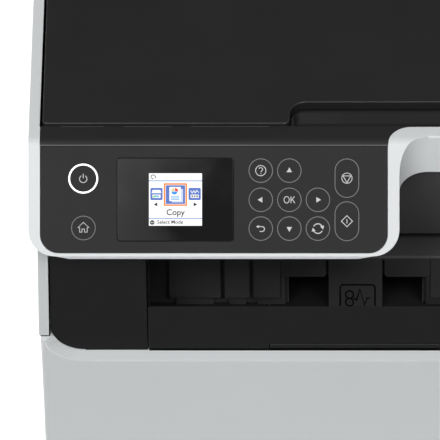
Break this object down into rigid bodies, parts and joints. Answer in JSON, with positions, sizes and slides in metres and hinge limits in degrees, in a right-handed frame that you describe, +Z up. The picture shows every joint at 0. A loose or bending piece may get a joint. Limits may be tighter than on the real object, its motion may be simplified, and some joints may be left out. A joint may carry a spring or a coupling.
{
  "type": "multifunction inkjet printer",
  "caption": "White and black multifunction inkjet printer with flatbed scanner, sloping control panel with display and keys, front ink tank, output tray and paper cassette.",
  "frame": {"origin": "on the floor under the middle of the bounding box", "axes": "+X to the printer's right as seen from the front, +Y to the rear, +Z up; the front faces -Y"},
  "size_m": [0.375, 0.347, 0.302],
  "materials": {
    "white_plastic": "fine matte texture",
    "black_plastic": "fine matte texture",
    "panel_plastic": "satin",
    "display_cover": "gloss",
    "grey_plastic": "matte",
    "steel": "zinc plated sheet",
    "supply_case": "matte case of the power supply",
    "rubber": "matte",
    "scanner_glass": "polished",
    "white_sheet": "smooth white sheet on foam",
    "tank_plastic": "translucent",
    "circuit_board": "solder mask",
    "gear_plastic": "natural acetal"
  },
  "bodies": {
    "body": {"base_pan": "black_plastic", "front_foot_left": "rubber", "front_foot_right": "rubber", "rear_housing": "white_plastic", "lower_front_cover": "white_plastic", "left_front_cover": "black_plastic", "ink_tank_housing": "black_plastic", "exit_frame": "black_plastic", "mid_frame": "steel", "left_side_plate": "steel", "right_side_plate": "steel", "feed_motor": "steel", "carriage_rail": "steel", "timing_belt": "rubber", "platen": "black_plastic", "ink_tank": "tank_plastic", "power_supply": "supply_case", "mains_inlet": "black_plastic", "main_board": "circuit_board"},
    "scanner": {"scanner_shell": "white_plastic", "scanner_deck": "black_plastic", "platen_glass": "scanner_glass", "panel_plate": "panel_plastic", "display_window": "display_cover"},
    "scan_head": {"scan_bar": "grey_plastic"},
    "lid": {"document_lid": "black_plastic", "lid_pad": "white_sheet"},
    "power_key": {"power_button": "panel_plastic"},
    "home_key": {"home_button": "panel_plastic"},
    "help_key": {"help_button": "panel_plastic"},
    "up_key": {"up_button": "panel_plastic"},
    "left_key": {"left_button": "panel_plastic"},
    "ok_key": {"ok_button": "panel_plastic"},
    "right_key": {"right_button": "panel_plastic"},
    "back_key": {"back_button": "panel_plastic"},
    "down_key": {"down_button": "panel_plastic"},
    "repeat_key": {"repeat_button": "panel_plastic"},
    "stop_key": {"stop_button": "panel_plastic"},
    "start_key": {"start_button": "panel_plastic"},
    "tray": {"output_tray": "black_plastic"},
    "extension": {"tray_extension": "black_plastic"},
    "stopper": {"paper_stopper": "black_plastic"},
    "cassette": {"cassette_body": "black_plastic", "cassette_front": "white_plastic"},
    "left_guide": {"left_paper_guide": "grey_plastic"},
    "right_guide": {"right_paper_guide": "grey_plastic"},
    "rear_guide": {"end_guide": "grey_plastic"},
    "lift": {"lift_plate": "steel"},
    "feed": {"feed_roller": "steel"},
    "idler": {"idler_gear": "gear_plastic"},
    "exit": {"exit_roller": "rubber"},
    "carriage": {"carriage": "black_plastic", "print_head": "grey_plastic"},
    "drive": {"drive_pulley": "gear_plastic"},
    "idle": {"idler_pulley": "gear_plastic"},
    "cap": {"tank_cap": "black_plastic"},
    "rear": {"rear_cover": "white_plastic"},
    "pad_box": {"ink_pad_box": "black_plastic"}
  },
  "joints": [
    {"name": "scanner_hinge", "type": "hinge", "parent": "body", "child": "scanner", "pos_m": [0, 0.1675, 0.28], "axis": [-1, 0, 0], "range_deg": [0, 35]},
    {"name": "lid_hinge", "type": "hinge", "parent": "scanner", "child": "lid", "pos_m": [0, 0.1613, 0.2965], "axis": [-1, 0, 0], "range_deg": [0, 80]},
    {"name": "scan_bar_slide", "type": "slide", "parent": "scanner", "child": "scan_head", "axis": [1, 0, 0], "range_m": [0, 0.27]},
    {"name": "power_press", "type": "slide", "parent": "scanner", "child": "power_key", "axis": [0, 0.7071, -0.7071], "range_m": [0, 0.0008], "stiffness_N_per_m": 500, "springref_m": -0.0004},
    {"name": "home_press", "type": "slide", "parent": "scanner", "child": "home_key", "axis": [0, 0.7071, -0.7071], "range_m": [0, 0.0008], "stiffness_N_per_m": 500, "springref_m": -0.0004},
    {"name": "help_press", "type": "slide", "parent": "scanner", "child": "help_key", "axis": [0, 0.7071, -0.7071], "range_m": [0, 0.0008], "stiffness_N_per_m": 500, "springref_m": -0.0004},
    {"name": "up_press", "type": "slide", "parent": "scanner", "child": "up_key", "axis": [0, 0.7071, -0.7071], "range_m": [0, 0.0008], "stiffness_N_per_m": 500, "springref_m": -0.0004},
    {"name": "left_press", "type": "slide", "parent": "scanner", "child": "left_key", "axis": [0, 0.7071, -0.7071], "range_m": [0, 0.0008], "stiffness_N_per_m": 500, "springref_m": -0.0004},
    {"name": "ok_press", "type": "slide", "parent": "scanner", "child": "ok_key", "axis": [0, 0.7071, -0.7071], "range_m": [0, 0.0008], "stiffness_N_per_m": 500, "springref_m": -0.0004},
    {"name": "right_press", "type": "slide", "parent": "scanner", "child": "right_key", "axis": [0, 0.7071, -0.7071], "range_m": [0, 0.0008], "stiffness_N_per_m": 500, "springref_m": -0.0004},
    {"name": "back_press", "type": "slide", "parent": "scanner", "child": "back_key", "axis": [0, 0.7071, -0.7071], "range_m": [0, 0.0008], "stiffness_N_per_m": 500, "springref_m": -0.0004},
    {"name": "down_press", "type": "slide", "parent": "scanner", "child": "down_key", "axis": [0, 0.7071, -0.7071], "range_m": [0, 0.0008], "stiffness_N_per_m": 500, "springref_m": -0.0004},
    {"name": "repeat_press", "type": "slide", "parent": "scanner", "child": "repeat_key", "axis": [0, 0.7071, -0.7071], "range_m": [0, 0.0008], "stiffness_N_per_m": 500, "springref_m": -0.0004},
    {"name": "stop_press", "type": "slide", "parent": "scanner", "child": "stop_key", "axis": [0, 0.7071, -0.7071], "range_m": [0, 0.0008], "stiffness_N_per_m": 500, "springref_m": -0.0004},
    {"name": "start_press", "type": "slide", "parent": "scanner", "child": "start_key", "axis": [0, 0.7071, -0.7071], "range_m": [0, 0.0008], "stiffness_N_per_m": 500, "springref_m": -0.0004},
    {"name": "tray_slide", "type": "slide", "parent": "body", "child": "tray", "axis": [0, -1, 0], "range_m": [0, 0.09]},
    {"name": "extension_slide", "type": "slide", "parent": "tray", "child": "extension", "axis": [0, -1, 0], "range_m": [0, 0.08]},
    {"name": "stopper_hinge", "type": "hinge", "parent": "extension", "child": "stopper", "pos_m": [-0.00965, -0.15695, 0.18785], "axis": [1, 0, 0], "range_deg": [0, 75]},
    {"name": "cassette_slide", "type": "slide", "parent": "body", "child": "cassette", "axis": [0, -1, 0], "range_m": [0, 0.18]},
    {"name": "left_guide_slide", "type": "slide", "parent": "cassette", "child": "left_guide", "axis": [1, 0, 0], "range_m": [0, 0.05]},
    {"name": "right_guide_slide", "type": "slide", "parent": "cassette", "child": "right_guide", "axis": [-1, 0, 0], "range_m": [0, 0.05]},
    {"name": "end_guide_slide", "type": "slide", "parent": "cassette", "child": "rear_guide", "axis": [0, 1, 0], "range_m": [0, 0.06]},
    {"name": "lift_plate_hinge", "type": "hinge", "parent": "cassette", "child": "lift", "pos_m": [-0.00965, 0.037, 0.01103], "axis": [1, 0, 0], "range_deg": [0, 12]},
    {"name": "feed_spin", "type": "hinge", "parent": "body", "child": "feed", "pos_m": [0, 0.00547, 0.2183], "axis": [1, 0, 0], "continuous": true},
    {"name": "idler_spin", "type": "hinge", "parent": "body", "child": "idler", "pos_m": [0, -0.03703, 0.2183], "axis": [1, 0, 0], "continuous": true},
    {"name": "exit_spin", "type": "hinge", "parent": "body", "child": "exit", "pos_m": [0, -0.07453, 0.2183], "axis": [1, 0, 0], "continuous": true},
    {"name": "carriage_slide", "type": "slide", "parent": "body", "child": "carriage", "axis": [-1, 0, 0], "range_m": [0, 0.175]},
    {"name": "drive_pulley_spin", "type": "hinge", "parent": "body", "child": "drive", "pos_m": [0.1077, 0.03897, 0.2393], "axis": [0, 0, 1], "continuous": true},
    {"name": "idler_pulley_spin", "type": "hinge", "parent": "body", "child": "idle", "pos_m": [-0.1357, 0.03897, 0.2393], "axis": [0, 0, 1], "continuous": true},
    {"name": "tank_cap_hinge", "type": "hinge", "parent": "body", "child": "cap", "pos_m": [0.14435, -0.10093, 0.2553], "axis": [-1, 0, 0], "range_deg": [0, 35]},
    {"name": "rear_cover_slide", "type": "slide", "parent": "body", "child": "rear", "axis": [0, 1, 0], "range_m": [0, 0.06]},
    {"name": "pad_box_slide", "type": "slide", "parent": "body", "child": "pad_box", "axis": [0, 1, 0], "range_m": [0, 0.07]}
  ],
  "couplings": [
    {"joint": "right_guide_slide", "follows": "left_guide_slide", "ratio": 1},
    {"joint": "idler_spin", "follows": "feed_spin", "ratio": -0.88889},
    {"joint": "exit_spin", "follows": "feed_spin", "ratio": 1.3333},
    {"joint": "drive_pulley_spin", "follows": "carriage_slide", "rad_per_m": -145},
    {"joint": "idler_pulley_spin", "follows": "carriage_slide", "rad_per_m": -145}
  ]
}
